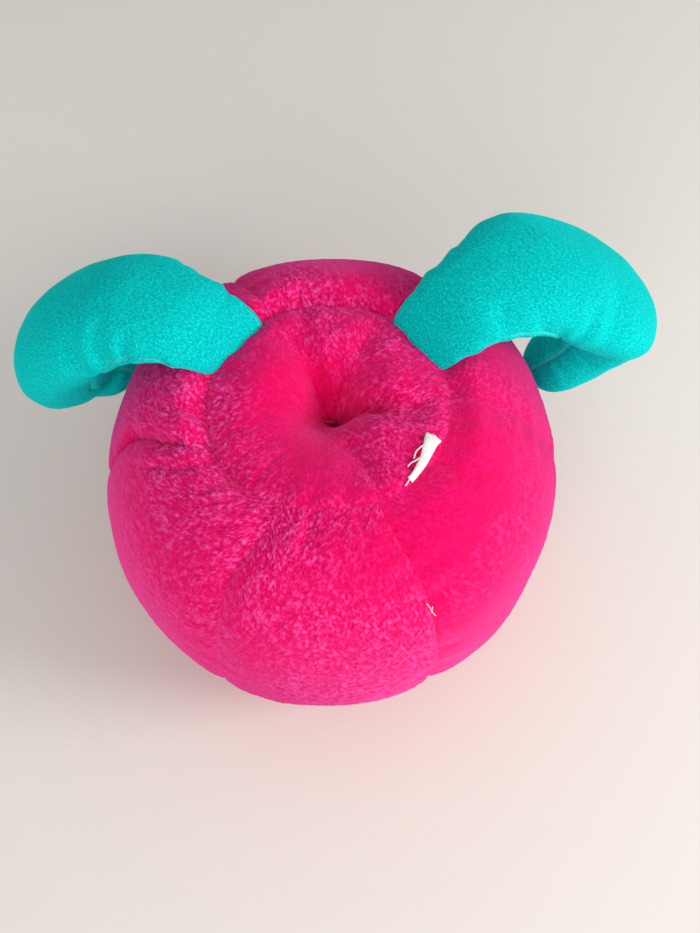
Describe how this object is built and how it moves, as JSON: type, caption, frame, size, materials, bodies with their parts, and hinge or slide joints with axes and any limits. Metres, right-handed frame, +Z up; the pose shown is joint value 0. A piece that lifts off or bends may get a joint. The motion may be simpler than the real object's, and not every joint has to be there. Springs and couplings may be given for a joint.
{
  "type": "tomato pincushion",
  "caption": "Round plush pincushion like a squashed tomato: padded side panels, a dimpled top, two curled stuffed leaves and a small ribbon stub.",
  "frame": {"origin": "centre of the flat underside", "axes": "+Z up, out of the dimpled top; -Y towards the front; +X towards the right leaf"},
  "size_m": [0.1454, 0.1008, 0.0817],
  "materials": {
    "pink_plush": "short pile plush",
    "pink_thread": "polyester thread",
    "green_cloth": "brushed knit",
    "green_thread": "polyester thread",
    "white_stuffing": "fibre stuffing",
    "felt_washer": "pressed felt",
    "white_ribbon": "woven ribbon"
  },
  "bodies": {
    "cushion": {"top_disc": "pink_plush", "bottom_disc": "pink_plush", "gore_front": "pink_plush", "gore_front_right": "pink_plush", "gore_back_right": "pink_plush", "gore_back": "pink_plush", "gore_back_left": "pink_plush", "gore_front_left": "pink_plush", "top_ring_thread": "pink_thread", "bottom_ring_thread": "pink_thread", "side_thread_front_left": "pink_thread", "side_thread_front_right": "pink_thread", "side_thread_right": "pink_thread", "side_thread_back_right": "pink_thread", "side_thread_back_left": "pink_thread", "side_thread_left": "pink_thread", "closing_stitches": "pink_thread", "tuft_thread": "pink_thread", "tuft_knot": "pink_thread", "body_stuffing": "white_stuffing", "tuft_washer": "felt_washer"},
    "leaf_right": {"leaf_right_upper_panel": "green_cloth", "leaf_right_lower_panel": "green_cloth", "leaf_right_stuffing": "white_stuffing", "leaf_right_seam_thread": "green_thread"},
    "leaf_left": {"leaf_left_upper_panel": "green_cloth", "leaf_left_lower_panel": "green_cloth", "leaf_left_stuffing": "white_stuffing", "leaf_left_seam_thread": "green_thread"},
    "ribbon": {"ribbon_stub": "white_ribbon"}
  },
  "joints": [
    {"name": "leaf_right_seam", "type": "hinge", "parent": "cushion", "child": "leaf_right", "pos_m": [0.0196, 0.0158, 0.0702], "axis": [0.6276, -0.7785, 0], "range_deg": [0, 60]},
    {"name": "leaf_left_seam", "type": "hinge", "parent": "cushion", "child": "leaf_left", "pos_m": [-0.0202, 0.0148, 0.0708], "axis": [0.591, 0.8067, 0], "range_deg": [0, 60]},
    {"name": "ribbon_fold", "type": "hinge", "parent": "cushion", "child": "ribbon", "pos_m": [0.0213, -0.0082, 0.0703], "axis": [-0.7431, 0.6691, 0], "range_deg": [0, 100]}
  ]
}
